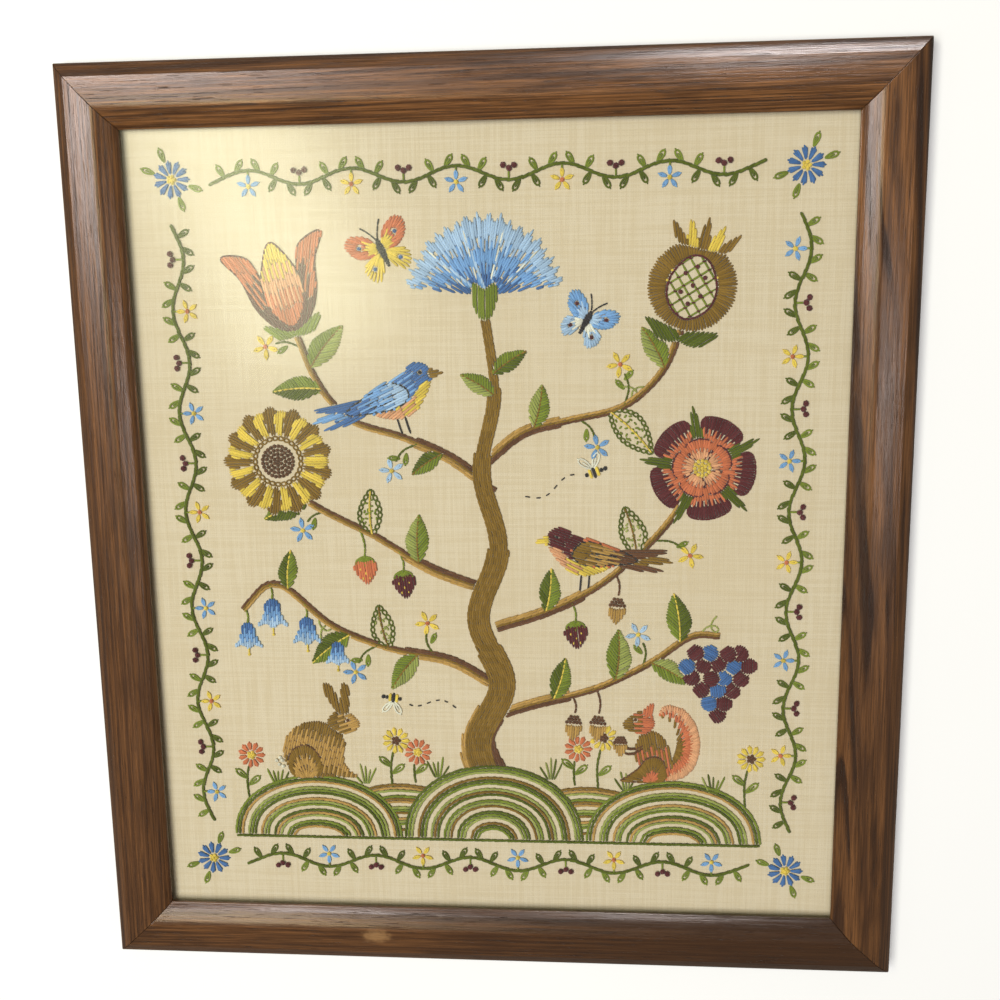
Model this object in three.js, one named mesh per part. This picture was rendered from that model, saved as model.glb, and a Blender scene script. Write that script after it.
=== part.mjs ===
// Framed crewel embroidery: a linen panel stretched on a board, under glass, in a mitred oak frame.
// Millimetres, +Z up. The picture lies on its back: face up, its top edge towards +Y.
// The origin is the middle of the frame's back, on the surface that it lies on.
import * as THREE from "three";

const INCH = 25.4;
const GAP = 0.3; // air between neighbouring pieces

// Frame, an 18 by 16 inch picture with a 1 1/4 inch moulding
const FRAME_WIDTH = 16 * INCH;
const FRAME_HEIGHT = 18 * INCH;
const MOULDING_WIDTH = 1.25 * INCH;

// Moulding section: widths run inwards from the outer edge, heights upwards from the back
const OUTER_WALL_HEIGHT = 7.5;
const SHOULDER_AT = 7.8;
const SHOULDER_HEIGHT = 17.2;
const CROWN_AT = 21;
const CROWN_HEIGHT = 20;
const BREAK_AT = 24.2;
const BREAK_HEIGHT = 19.1;
const LIP_TOP_HEIGHT = 14.2;
const LIP_ROUND = 0.6;
const REBATE_DEPTH = 12.5;
const REBATE_WIDTH = 0.25 * INCH;
const CURVE_STEPS = 8;

// Handles of the section's curves, as width and height
const SHOULDER_HANDLES = [0.2, 11.6, 4.2, 14.2];
const FACE_HANDLE = [14.5, 19.3];
const FALL_HANDLE = [22.6, 20];
const SLOPE_HANDLE = [29.4, 16.2];

// What the rebate holds, from the lip down
const FILL_CLEARANCE = 0.4; // to each rebate wall
const GLASS_THICKNESS = 2;
const STITCH_ROOM = 1.8; // the wool stands up between the linen and the glass
const LINEN_THICKNESS = 1.2;
const BOARD_THICKNESS = 3.2;

const WOOD = { color: 0x694834, roughness: 0.45, metalness: 0 };
const GLASS = { color: 0xf2f5f3, roughness: 0.05, metalness: 0, transparent: true, opacity: 0.2 };
const LINEN = { color: 0xdccba9, roughness: 0.9, metalness: 0 };
const BOARD = { color: 0x8a6b4a, roughness: 0.85, metalness: 0 };

const picture = new THREE.Group();

function addPiece(name, geometry, look) {
  const mesh = new THREE.Mesh(geometry, new THREE.MeshStandardMaterial(look));
  mesh.name = name;
  picture.add(mesh);
  return mesh;
}

// Section of the moulding: straight outer wall, round shoulder that meets a nearly flat face at an
// edge, the crown, a soft break, a slope down to the lip, and the rebate cut out of the back.
function mouldingSection() {
  const rebateAt = MOULDING_WIDTH - REBATE_WIDTH;
  const section = new THREE.Shape();
  section.moveTo(0, 0);
  section.lineTo(0, OUTER_WALL_HEIGHT);
  section.bezierCurveTo(...SHOULDER_HANDLES, SHOULDER_AT, SHOULDER_HEIGHT);
  section.quadraticCurveTo(...FACE_HANDLE, CROWN_AT, CROWN_HEIGHT);
  section.quadraticCurveTo(...FALL_HANDLE, BREAK_AT, BREAK_HEIGHT);
  section.quadraticCurveTo(...SLOPE_HANDLE, MOULDING_WIDTH - LIP_ROUND, LIP_TOP_HEIGHT);
  section.lineTo(MOULDING_WIDTH, LIP_TOP_HEIGHT - LIP_ROUND);
  section.lineTo(MOULDING_WIDTH, REBATE_DEPTH);
  section.lineTo(rebateAt, REBATE_DEPTH);
  section.lineTo(rebateAt, 0);
  return section;
}

// One rail along X with its outer edge towards -Y. Each end is drawn back by a point's distance
// from the outer edge, which makes a 45 degree mitre with half the air gap on this side of it.
function mitredRail(length, halfSpan) {
  const geometry = new THREE.ExtrudeGeometry(mouldingSection(), {
    depth: 1,
    steps: 1,
    curveSegments: CURVE_STEPS,
    bevelEnabled: false,
  });
  const points = geometry.attributes.position;
  const setBack = GAP / Math.SQRT2;
  for (let i = 0; i < points.count; i += 1) {
    const inwards = points.getX(i);
    const side = points.getZ(i) > 0.5 ? 1 : -1;
    const along = side * (length / 2 - inwards - setBack);
    points.setXYZ(i, along, inwards - halfSpan, points.getY(i));
  }
  geometry.computeVertexNormals();
  return geometry;
}

function addRail(name, length, halfSpan, quarterTurns) {
  const rail = addPiece(name, mitredRail(length, halfSpan), WOOD);
  rail.rotation.z = quarterTurns * Math.PI / 2;
}

// A flat sheet that lies in the rebate, with its top face at the given height.
function addFilling(name, top, thickness, look) {
  const width = FRAME_WIDTH - 2 * (MOULDING_WIDTH - REBATE_WIDTH + FILL_CLEARANCE);
  const height = FRAME_HEIGHT - 2 * (MOULDING_WIDTH - REBATE_WIDTH + FILL_CLEARANCE);
  const sheet = addPiece(name, new THREE.BoxGeometry(width, height, thickness), look);
  sheet.position.z = top - thickness / 2;
}

addRail("rail_bottom", FRAME_WIDTH, FRAME_HEIGHT / 2, 0);
addRail("rail_right", FRAME_HEIGHT, FRAME_WIDTH / 2, 1);
addRail("rail_top", FRAME_WIDTH, FRAME_HEIGHT / 2, 2);
addRail("rail_left", FRAME_HEIGHT, FRAME_WIDTH / 2, 3);

const glassTop = REBATE_DEPTH - GAP;
const linenTop = glassTop - GLASS_THICKNESS - STITCH_ROOM;
const boardTop = linenTop - LINEN_THICKNESS - GAP;
addFilling("glass_pane", glassTop, GLASS_THICKNESS, GLASS);
addFilling("linen_panel", linenTop, LINEN_THICKNESS, LINEN);
addFilling("backing_board", boardTop, BOARD_THICKNESS, BOARD);

export default picture;
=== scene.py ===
# %% [markdown]
# # A crewel embroidery in its frame
# The picture lies on its back: four mitred lengths of stained oak, a sheet of glass, a linen panel
# worked in wool and the board that the linen is stretched on. The solids are loaded first, because
# every piece below takes its size and place from them.

import math

import bpy
import numpy as np
from mathutils import Matrix, Vector


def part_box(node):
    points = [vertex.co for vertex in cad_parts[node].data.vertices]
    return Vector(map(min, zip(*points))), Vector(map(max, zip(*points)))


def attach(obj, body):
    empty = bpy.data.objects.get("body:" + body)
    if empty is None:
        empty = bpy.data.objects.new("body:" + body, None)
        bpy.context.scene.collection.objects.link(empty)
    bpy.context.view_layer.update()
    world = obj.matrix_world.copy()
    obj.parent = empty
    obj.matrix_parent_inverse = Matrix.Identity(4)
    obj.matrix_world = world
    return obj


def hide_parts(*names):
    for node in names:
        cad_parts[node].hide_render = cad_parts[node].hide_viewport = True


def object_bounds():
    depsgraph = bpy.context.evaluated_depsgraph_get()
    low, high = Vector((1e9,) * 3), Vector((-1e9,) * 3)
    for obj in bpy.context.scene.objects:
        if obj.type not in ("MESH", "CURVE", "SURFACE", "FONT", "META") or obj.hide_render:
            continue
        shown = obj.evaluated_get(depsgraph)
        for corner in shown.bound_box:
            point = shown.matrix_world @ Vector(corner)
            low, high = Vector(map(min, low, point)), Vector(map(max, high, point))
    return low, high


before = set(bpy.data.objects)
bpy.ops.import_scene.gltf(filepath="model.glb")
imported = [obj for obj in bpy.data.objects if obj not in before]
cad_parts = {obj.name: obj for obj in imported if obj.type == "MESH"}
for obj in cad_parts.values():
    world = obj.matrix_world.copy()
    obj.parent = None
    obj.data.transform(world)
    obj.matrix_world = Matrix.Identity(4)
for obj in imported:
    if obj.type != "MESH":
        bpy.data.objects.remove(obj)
cad_low, cad_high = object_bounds()
MM = 0.001
bpy.ops.object.select_all(action="DESELECT")

# %% [markdown]
# ## Node helpers
# A material is a small graph. Adding a node, setting it and joining its inputs takes many lines by
# hand, so one helper does all three, and the others use it for sums, noise, glazes and relief. Colours
# are picked on a screen, whose numbers aren't amounts of light, so `paint` turns them into light.


# %% Helpers for materials
def add_node(tree, kind, inputs=None, **settings):
    """Adds a node, sets its options, and fills or joins its inputs by name or number."""
    made = tree.nodes.new(kind)
    for option, value in settings.items():
        setattr(made, option, value)
    for name, value in (inputs or {}).items():
        if isinstance(value, bpy.types.NodeSocket):
            tree.links.new(value, made.inputs[name])
        else:
            made.inputs[name].default_value = value
    return made


def sums(tree, operation, first, second=0.0, third=0.0):
    """One sum on numbers, as a socket."""
    numbers = {0: first, 1: second, 2: third}
    return add_node(tree, "ShaderNodeMath", numbers, operation=operation).outputs[0]


def noise(tree, where, scale, detail, roughness=0.5):
    """Soft random values, about half on average, as a socket."""
    inputs = {"Vector": where, "Scale": scale, "Detail": detail, "Roughness": roughness}
    return add_node(tree, "ShaderNodeTexNoise", inputs).outputs["Fac"]


def blend(tree, share, first, second):
    """Two colours mixed by a share, as a socket."""
    inputs = {0: share, 6: first, 7: second}
    return add_node(tree, "ShaderNodeMix", inputs, data_type="RGBA").outputs[2]


def glaze(tree, under, mask, amount, colour):
    """A colour laid over another where a mask is high, as a socket."""
    return blend(tree, sums(tree, "MULTIPLY", mask, amount), under, colour)


def ramp(tree, value, low, high):
    """A value spread from 0 at low to 1 at high, and kept between them."""
    inputs = {"Value": value, "From Min": low, "From Max": high}
    return add_node(tree, "ShaderNodeMapRange", inputs, interpolation_type="SMOOTHSTEP").outputs[0]


def paint(red, green, blue):
    """Screen numbers from 0 to 255 as the light that they stand for."""
    light = []
    for value in (red, green, blue):
        share = value / 255
        light.append(share / 12.92 if share <= 0.04045 else ((share + 0.055) / 1.055) ** 2.4)
    return (*light, 1.0)


def new_finish(name, roughness):
    """A material with one Principled shader, and its tree and shader to build on."""
    finish = bpy.data.materials.new(name)
    finish.use_nodes = True
    shader = finish.node_tree.nodes["Principled BSDF"]
    shader.inputs["Roughness"].default_value = roughness
    return finish, finish.node_tree, shader


def emboss(tree, shader, height, strength, depth):
    """Lets light break on a surface as if it rose and fell by a small depth in mm."""
    inputs = {"Height": height, "Strength": strength, "Distance": depth * MM}
    bump = add_node(tree, "ShaderNodeBump", inputs)
    tree.links.new(bump.outputs[0], shader.inputs["Normal"])


def place_in_mm(tree, turn=0.0, move=(0.0, 0.0, 0.0)):
    """The object's own coordinates in millimetres, turned about Z and moved, as a socket."""
    spot = add_node(tree, "ShaderNodeTexCoord").outputs["Object"]
    inputs = {"Vector": spot, "Location": move, "Rotation": (0, 0, turn), "Scale": (1 / MM,) * 3}
    return add_node(tree, "ShaderNodeMapping", inputs).outputs[0]


def stretched(tree, where, x, y, z):
    """Coordinates scaled by an amount for each axis, as a socket."""
    return add_node(tree, "ShaderNodeMapping", {"Vector": where, "Scale": (x, y, z)}).outputs[0]


def distance(tree, where):
    """How far coordinates lie from their origin, as a socket."""
    return add_node(tree, "ShaderNodeVectorMath", {0: where}, operation="LENGTH").outputs["Value"]


# %% [markdown]
# ## Stained oak
# The frame is open-pored oak, stained walnut brown and varnished. A board is a slice through the
# tree's yearly rings, so the finish is made the same way: rings round a pith that lies somewhere
# beside or below the rail. A pith far to one side gives straight lines, and one that leans up to the
# face gives pointed arches. Stain gathers in the pores of each ring, and the varnish dips into the
# pores. The brown lies deeper at one end of a rail than at the other, and deeper on some rails than on
# others: partly stain, and partly painted shade on the rails and ends that get less light.


# %% Finish for a rail
RING_MM = 2.4
STAIN_AND_SHADE_FADE_MM = 150.0
DARK_FIBRE, LIGHT_FIBRE = paint(80, 51, 29), paint(144, 97, 56)
RING_LINE, RING_BAND = paint(49, 31, 21), paint(59, 38, 26)
CLOUDED, STAIN_AND_SHADE_BROWN, PORE = paint(53, 34, 23), paint(54, 35, 23), paint(28, 17, 12)
WORN_WOOD = paint(166, 127, 84)
WARM_VARNISH = (1.0, 0.8, 0.66, 1)


def worn_spot(tree, spot, reach):
    """A ragged patch round a spot on the frame, both in mm: 1 in its middle and 0 outside."""
    where = place_in_mm(tree)
    shift = tuple(-at / half for at, half in zip(spot, reach))
    scale = tuple(1 / half for half in reach)
    inputs = {"Vector": where, "Location": (*shift, 0), "Scale": (*scale, 0)}
    near = add_node(tree, "ShaderNodeMapping", inputs).outputs[0]
    ragged = sums(tree, "MULTIPLY_ADD", noise(tree, where, 0.5, 3.0), 0.9, distance(tree, near))
    return ramp(tree, ragged, 1.6, 0.75)


def stained_oak(name, turn, middle, pith, lean, waver, figure, stain):
    """Oak with its grain along a rail. The pith lies across and below the middle of the rail."""
    finish, tree, shader = new_finish(name, 0.3)
    shader.inputs["Specular IOR Level"].default_value = 0.8
    shader.inputs["Specular Tint"].default_value = WARM_VARNISH
    bench = place_in_mm(tree, turn, (0, -middle, 0))

    def drawn_out(along, across):
        start, scale = (middle + 2 * turn, 0, 0), (along, across, across)
        inputs = {"Vector": bench, "Location": start, "Scale": scale}
        return add_node(tree, "ShaderNodeMapping", inputs).outputs[0]

    inputs = {"Vector": bench, "Location": (0, -pith[0], -pith[1]), "Rotation": (0, lean[1], lean[0])}
    log = add_node(tree, "ShaderNodeMapping", inputs).outputs[0]
    from_pith = distance(tree, stretched(tree, log, 0, 1, 1))
    grown = sums(tree, "MULTIPLY_ADD", noise(tree, drawn_out(0.004, 0.03), 1.0, 3.0), waver, from_pith)
    outward = add_node(tree, "ShaderNodeCombineXYZ", {0: grown}).outputs[0]
    years = sums(tree, "MULTIPLY_ADD", noise(tree, outward, 0.13, 1.0), 7.0, grown)
    season = sums(tree, "FRACT", sums(tree, "DIVIDE", years, RING_MM))
    early = sums(tree, "MULTIPLY", ramp(tree, season, 0.3, 0.86), ramp(tree, season, 1.0, 0.86))
    broken = ramp(tree, noise(tree, drawn_out(0.012, 0.09), 1.0, 2.0), 0.36, 0.62)
    early = sums(tree, "MULTIPLY", early, broken)
    ring_tone = noise(tree, outward, 0.45, 2.0)
    streak = noise(tree, drawn_out(0.045, 0.8), 1.0, 3.0, 0.6)
    fibre = noise(tree, drawn_out(0.03, 1.5), 1.0, 3.0, 0.65)
    fleck = noise(tree, drawn_out(0.07, 2.3), 1.0, 2.0, 0.6)
    pore_edge = sums(tree, "MULTIPLY_ADD", early, -0.1, 0.66)
    pores = ramp(tree, sums(tree, "SUBTRACT", fleck, pore_edge), 0.0, 0.05)
    cloud = noise(tree, drawn_out(0.02, 0.14), 1.0, 3.0, 0.6)
    wood = blend(tree, ramp(tree, fibre, 0.3, 0.7), DARK_FIBRE, LIGHT_FIBRE)
    wood = glaze(tree, wood, early, figure, RING_LINE)
    wood = glaze(tree, wood, ramp(tree, ring_tone, 0.44, 0.62), 0.7, RING_BAND)
    wood = glaze(tree, wood, ramp(tree, cloud, 0.48, 0.7), 0.5, CLOUDED)
    # Partly stain, partly painted shade: darker towards one rail end and on rails that get less light.
    along = add_node(tree, "ShaderNodeSeparateXYZ", {0: bench}).outputs[0]
    far_end = ramp(tree, along, -STAIN_AND_SHADE_FADE_MM, STAIN_AND_SHADE_FADE_MM)
    stain_and_painted_shade = sums(tree, "MULTIPLY_ADD", far_end, stain[1] - stain[0], stain[0])
    wood = blend(tree, stain_and_painted_shade, wood, STAIN_AND_SHADE_BROWN)
    wood = glaze(tree, wood, pores, 0.7, PORE)
    for spot, reach in WORN.get(name, ()):
        wood = glaze(tree, wood, worn_spot(tree, spot, reach), 0.62, WORN_WOOD)
    tree.links.new(wood, shader.inputs["Base Color"])
    matt = sums(tree, "MULTIPLY_ADD", pores, 0.3, sums(tree, "MULTIPLY_ADD", streak, 0.24, 0.17))
    tree.links.new(matt, shader.inputs["Roughness"])
    depth = sums(tree, "SUBTRACT", sums(tree, "MULTIPLY_ADD", fibre, 0.3, streak), pores)
    emboss(tree, shader, depth, 0.8, 0.18)
    return finish


# %% [markdown]
# ## The moulding
# A framer buys the moulding in lengths, cuts its ends at 45 degrees and nails the corners. So one
# section is drawn here and used four times: a straight outer wall, a round shoulder that meets a nearly
# flat face at an edge, the crown, a soft break, a slope down to the lip, and the rebate behind it. Each
# curve needs only its end and the handles that bend it.

# %% Section of the moulding
rail_low, rail_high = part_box("rail_bottom")
glass_low, glass_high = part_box("glass_pane")
FRAME_W, FRAME_H = cad_high[0] - cad_low[0], cad_high[1] - cad_low[1]
WIDE = (rail_high[1] - rail_low[1]) / MM
LIP, GLASS_GAP = 6.35, 0.3
REBATE = WIDE - LIP
LEDGE = glass_high[2] / MM + GLASS_GAP
ARRIS = 0.6
OUTER_WALL = 7.5
CURVES = (
    # how many steps, then handles and end as (mm in from the outer edge, mm up)
    (12, (0.2, 11.6), (4.2, 14.2), (7.8, 17.2)),
    (8, (14.5, 19.3), (21, 20)),
    (6, (22.6, 20), (24.2, 19.1)),
    (8, (29.4, 16.2), (WIDE - ARRIS, 14.2)),
    (3, (WIDE, 13.9), (WIDE, 13.4)),
)


def curve_points(handles, count):
    """Points on a Bezier curve of any degree, without its first one."""
    made = []
    for step in range(1, count + 1):
        spots = [Vector(handle) for handle in handles]
        while len(spots) > 1:
            spots = [a.lerp(b, step / count) for a, b in zip(spots, spots[1:])]
        made.append(spots[0])
    return made


def moulding_section():
    """The section as (distance in from the outer edge, height) in metres, all the way round."""
    points = [Vector((0, ARRIS)), Vector((0, OUTER_WALL))]
    for count, *handles in CURVES:
        points += curve_points([points[-1], *handles], count)
    points += [Vector(spot) for spot in ((WIDE, LEDGE), (REBATE, LEDGE), (REBATE, 0), (ARRIS, 0))]
    return [point * MM for point in points]


section = moulding_section()
print("section points:", len(section), "height mm:", round(max(p.y for p in section) / MM, 2))


# %% [markdown]
# ## Four rails
# Each rail starts as a plane melted to one point. The point is extruded along the section, the loop
# is filled, and the face is pulled out to the rail's length. Two slanted cuts make the mitres, and a
# shallow one at each tip rounds the corner as years of handling do. All rails are made at the bottom
# of the frame and turned into place, as the wood would be on the bench.

# %% Cut the rails
MITRE_AIR, EASE = 0.1 * MM, 0.25 * MM
SHARP_EDGE, SOFT_EDGE = math.radians(38), math.radians(18)


def cut_rail(name, length, half_span, quarter_turns, corners):
    """One mitred rail in place, with its edges eased and its corners rounded by these radii."""
    bpy.ops.object.select_all(action="DESELECT")
    bpy.ops.mesh.primitive_plane_add(size=MM, location=(0, 0, 0))
    rail = bpy.context.object
    rail.name = name
    bpy.ops.object.mode_set(mode="EDIT")
    bpy.ops.mesh.merge(type="CENTER")
    at = Vector((-length / 2, section[0].x - half_span, section[0].y))
    bpy.ops.transform.translate(value=at)
    for a, b in zip(section, section[1:]):
        move = {"value": (0, b.x - a.x, b.y - a.y)}
        bpy.ops.mesh.extrude_vertices_move(TRANSFORM_OT_translate=move)
    bpy.ops.mesh.select_all(action="SELECT")
    bpy.ops.mesh.edge_face_add()
    bpy.ops.mesh.extrude_region_move(TRANSFORM_OT_translate={"value": (length, 0, 0)})
    half_turn = math.radians(22.5)
    for way, radius in zip((-1, 1), corners):
        tip = way * length / 2
        cuts = (
            ((tip - way * MITRE_AIR, -half_span, 0), (way, 1, 0)),
            ((tip - way * radius, -half_span, 0), (way * math.sin(half_turn), -math.cos(half_turn), 0)),
        )
        for through, outward in cuts:
            bpy.ops.mesh.select_all(action="SELECT")
            bpy.ops.mesh.bisect(plane_co=through, plane_no=outward, use_fill=True, clear_outer=True)
    bpy.ops.mesh.select_all(action="SELECT")
    bpy.ops.mesh.normals_make_consistent(inside=False)
    bpy.ops.object.mode_set(mode="OBJECT")
    ease = rail.modifiers.new("ease", "BEVEL")
    ease.width = EASE
    ease.segments = 2
    ease.limit_method = "ANGLE"
    ease.angle_limit = SHARP_EDGE
    bpy.ops.object.modifier_apply(modifier=ease.name)
    rail.rotation_euler.z = quarter_turns * math.pi / 2
    bpy.ops.object.transform_apply(location=True, rotation=True, scale=True)
    bpy.ops.object.shade_smooth_by_angle(angle=SOFT_EDGE)
    return rail


ROUND, SHARP = 2.0 * MM, 0.8 * MM
RAILS = (
    # name, quarter turns, corners, pith in mm, its lean, waver in mm, figure, stain and painted shade
    # at both ends
    ("rail_bottom", 0, (ROUND, ROUND), (-70, -30), (0.012, 0.02), 3.5, 0.6, (0.35, 0.9)),
    ("rail_right", 1, (ROUND, SHARP), (8, 5), (0.0, -0.03), 1.6, 1.3, (0.35, 0.0)),
    ("rail_top", 2, (SHARP, SHARP), (-80, -30), (-0.018, 0.0), 3.5, 0.6, (0.0, 0.0)),
    ("rail_left", 3, (SHARP, ROUND), (-90, -12), (0.012, 0.0), 5.0, 0.6, (0.4, 0.2)),
)
WORN = {"oak_rail_bottom": (((-61.0, -210.2), (8.6, 4.4)), ((-164, -227.6), (1.6, 0.9)))}
for name, turns, corners, pith, lean, waver, figure, stain in RAILS:
    length, span = (FRAME_H, FRAME_W) if turns % 2 else (FRAME_W, FRAME_H)
    rail = cut_rail("oak_" + name, length, span / 2, turns, corners)
    middle = (span / 2 / MM - WIDE / 2) * (-1 if turns < 2 else 1)
    turn = -math.pi / 2 * (turns % 2)
    rail.data.materials.append(stained_oak(rail.name, turn, middle, pith, lean, waver, figure, stain))
    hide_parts(name)
    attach(rail, "root")
    print(rail.name, "faces:", len(rail.data.polygons))

# %% [markdown]
# ## Board behind the linen
# A plain sheet of brown hardboard fills the back. A cube is flattened to its size and its edges are
# eased with a bevel, because a sawn sheet never has knife edges.


# %% Flat sheets
def flat_sheet(name, low, high, ease):
    """A sheet between two corners, with its edges eased."""
    bpy.ops.object.select_all(action="DESELECT")
    middle = [(a + b) / 2 for a, b in zip(low, high)]
    bpy.ops.mesh.primitive_cube_add(size=1, location=middle)
    sheet = bpy.context.object
    sheet.name = name
    sheet.scale = [b - a for a, b in zip(low, high)]
    bpy.ops.object.transform_apply(location=True, rotation=True, scale=True)
    bpy.ops.object.mode_set(mode="EDIT")
    bpy.ops.mesh.select_all(action="SELECT")
    bpy.ops.mesh.bevel(offset=ease, segments=3, affect="EDGES")
    bpy.ops.object.mode_set(mode="OBJECT")
    return sheet


def pressed_board():
    """Brown hardboard: short matted fibres, lighter and darker."""
    finish, tree, shader = new_finish("pressed_board", 0.85)
    where = place_in_mm(tree)
    fibre = noise(tree, where, 1.6, 4.0, 0.7)
    patch = noise(tree, where, 0.03, 2.0)
    brown = blend(tree, ramp(tree, fibre, 0.35, 0.65), paint(104, 74, 48), paint(156, 120, 84))
    brown = glaze(tree, brown, patch, 0.4, paint(120, 88, 60))
    tree.links.new(brown, shader.inputs["Base Color"])
    emboss(tree, shader, fibre, 0.4, 0.1)
    return finish


BOARD_EASE = 0.4 * MM
board = flat_sheet("hardboard_back", *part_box("backing_board"), BOARD_EASE)
board.data.materials.append(pressed_board())
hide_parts("backing_board")
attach(board, "root")
print(board.name, "faces:", len(board.data.polygons))

# %% [markdown]
# ## Picture glass
# Thin flat glass hardly bends what is behind it, but each of its faces mirrors a little of the room: a
# twenty-fifth part seen straight on, and more at a slant. So it is made as a clear film with a mirror
# mixed in by the angle of view. The mirror is slightly blurred, as old picture glass is, which turns
# a lamp into a soft bright patch.

# %% Glass
STRAIGHT_ON, MIRROR_BLUR = 0.04, 0.2
GLASS_EASE = 0.3 * MM


def picture_glass():
    """Clear, with a soft mirror whose strength follows the angle of view."""
    finish = bpy.data.materials.new("picture_glass")
    finish.use_nodes = True
    tree = finish.node_tree
    tree.nodes.remove(tree.nodes["Principled BSDF"])
    clear = add_node(tree, "ShaderNodeBsdfTransparent", {"Color": (0.985, 0.99, 0.985, 1)})
    mirror = add_node(tree, "ShaderNodeBsdfGlossy", {"Roughness": MIRROR_BLUR})
    slant = add_node(tree, "ShaderNodeLayerWeight", {"Blend": 0.5}).outputs["Facing"]
    glancing = sums(tree, "POWER", slant, 5.0)
    share = sums(tree, "MULTIPLY_ADD", glancing, 1 - STRAIGHT_ON, STRAIGHT_ON)
    mixed = add_node(tree, "ShaderNodeMixShader", {0: share, 1: clear.outputs[0], 2: mirror.outputs[0]})
    tree.links.new(mixed.outputs[0], tree.nodes["Material Output"].inputs["Surface"])
    return finish


pane = flat_sheet("glass_sheet", glass_low, glass_high, GLASS_EASE)
pane.data.materials.append(picture_glass())
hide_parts("glass_pane")
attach(pane, "root")
print(pane.name, "faces:", len(pane.data.polygons))

# %% [markdown]
# ## Stitches
# Crewel is drawing with wool. A stitch is a strand that comes up through the linen at one point and
# goes down at another, so each one is kept as a short path and a width, under the name of its yarn.
# Everything here is in millimetres on the linen, with the middle of the picture at zero. A loop that
# is tied down at its tip makes a small leaf, and wool wound round the needle makes a knot.

# %% Strand, loop and knot
rng = np.random.default_rng(23)
STRAND = 1.2
LIFT = 0.6
# share of a strand's length, share of its height
RISE_AND_FALL = ((0, -0.3), (0.12, 0.72), (0.5, 1), (0.88, 0.72), (1, -0.3))
sewn = {}


def sew(yarn, path, width):
    """Keeps one path of (x, y, height) under its yarn."""
    sewn.setdefault(yarn, []).append((np.array(path, float), width))


def straight(yarn, a, b, width, lift=1.0):
    """One strand: up through the linen at a, down again at b, with a little slack between."""
    a, b = np.array(a, float), np.array(b, float)
    run = b - a
    slack = rng.normal(0, 0.012) * np.array([-run[1], run[0]])
    tall = LIFT * lift * rng.uniform(0.88, 1.12)
    path = []
    for share, height in RISE_AND_FALL:
        spot = a + share * run + slack * math.sin(math.pi * share)
        path.append((*spot, tall * height))
    sew(yarn, path, STRAND * width * rng.uniform(0.92, 1.08))


def loop(yarn, a, b, fat, width=0.8):
    """A detached chain: a loop from a round to b and back, tied down at its tip."""
    a, b = np.array(a, float), np.array(b, float)
    run = b - a
    across = np.array([-run[1], run[0]])
    path = []
    for turn in np.linspace(0, 2 * math.pi, 13):
        off = 0.5 * fat * math.sin(turn) * math.sin(turn / 2)
        spot = a + (1 - math.cos(turn)) / 2 * run + off * across
        path.append((*spot, LIFT * (0.75 - 1.05 * math.cos(turn / 2) ** 16)))
    sew(yarn, path, STRAND * width)
    tip = run / np.hypot(*run)
    straight(yarn, b - 0.6 * tip, b + 0.9 * tip, 0.7 * width, 1.3)


def knot(yarn, spot, size=1.0):
    """A French knot: the wool wound nearly twice round itself and pulled down to a bead."""
    start = rng.uniform(0, 2 * math.pi)
    path = []
    for share in np.linspace(0, 1, 12):
        turn = start + 3.4 * math.pi * share
        reach = size * 0.75 * (1 - 0.8 * share)
        height = size * (0.35 + 0.7 * share)
        path.append((spot[0] + reach * math.cos(turn), spot[1] + reach * math.sin(turn), height))
    sew(yarn, path, 0.95 * size)


# %% [markdown]
# ## Lines and shapes
# A motif is drawn with a few points, and a smooth line is laid through them. What is worked first
# lies in front: its shape is noted down as covered, and later stitches stop at its edge. So a bird is
# sewn before the branch behind it, and the branch never runs through the bird.


# %% Smooth lines
def resample(line, step):
    """The same line, with points about one step apart."""
    line = np.array(line, float)
    reach = np.concatenate([[0], np.cumsum(np.hypot(*np.diff(line, axis=0).T))])
    at = np.linspace(0, reach[-1], max(2, round(reach[-1] / step) + 1))
    return np.stack([np.interp(at, reach, line[:, k]) for k in (0, 1)], axis=1)


def smooth(points, closed=False):
    """A smooth line through a few given points."""
    p = np.array(points, float)
    if closed:
        p = np.concatenate([p[-1:], p, p[:2]])
    else:
        p = np.concatenate([2 * p[:1] - p[1:2], p, 2 * p[-1:] - p[-2:-1]])
    t = np.linspace(0, 1, 9)[:-1, None]
    spans = []
    for a, b, c, d in zip(p, p[1:], p[2:], p[3:]):
        spans.append(b + t / 2 * (c - a + t * (2 * a - 5 * b + 4 * c - d + t * (3 * (b - c) + d - a))))
    line = resample(np.concatenate(spans + [p[-2:-1]]), 0.8)
    return line[:-1] if closed else line


def sideways(line):
    """The direction to the left of a line at each of its points."""
    way = np.gradient(line, axis=0)
    way /= np.maximum(np.hypot(way[:, 0], way[:, 1]), 1e-9)[:, None]
    return np.stack([-way[:, 1], way[:, 0]], axis=1)


def ring(line):
    """An outline with its first point again at the end."""
    return np.concatenate([line, line[:1]])


def ray(degrees):
    """A step of one along an angle."""
    return np.array([math.cos(math.radians(degrees)), math.sin(math.radians(degrees))])


# %% What is covered already
CLOSE_MM = 0.5
FEWEST_POINTS = 3
worked = []


def inside(points, outline):
    """True for the points that lie inside an outline."""
    a, b = outline, np.roll(outline, -1, axis=0)
    x, y = points[:, :1], points[:, 1:]
    rise = b[:, 1] - a[:, 1]
    crosses = (a[:, 1] > y) != (b[:, 1] > y)
    at = a[:, 0] + (y - a[:, 1]) * (b[:, 0] - a[:, 0]) / np.where(rise == 0, 1, rise)
    return (crosses & (x < at)).sum(axis=1) % 2 == 1


def bare(points):
    """True where the linen hasn't been worked yet."""
    points = np.array(points, float)
    free = np.ones(len(points), bool)
    for low, high, outline in worked:
        near = ((points > low) & (points < high)).all(axis=1) & free
        if near.any():
            free[near] = ~inside(points[near], outline)
    return free


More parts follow.
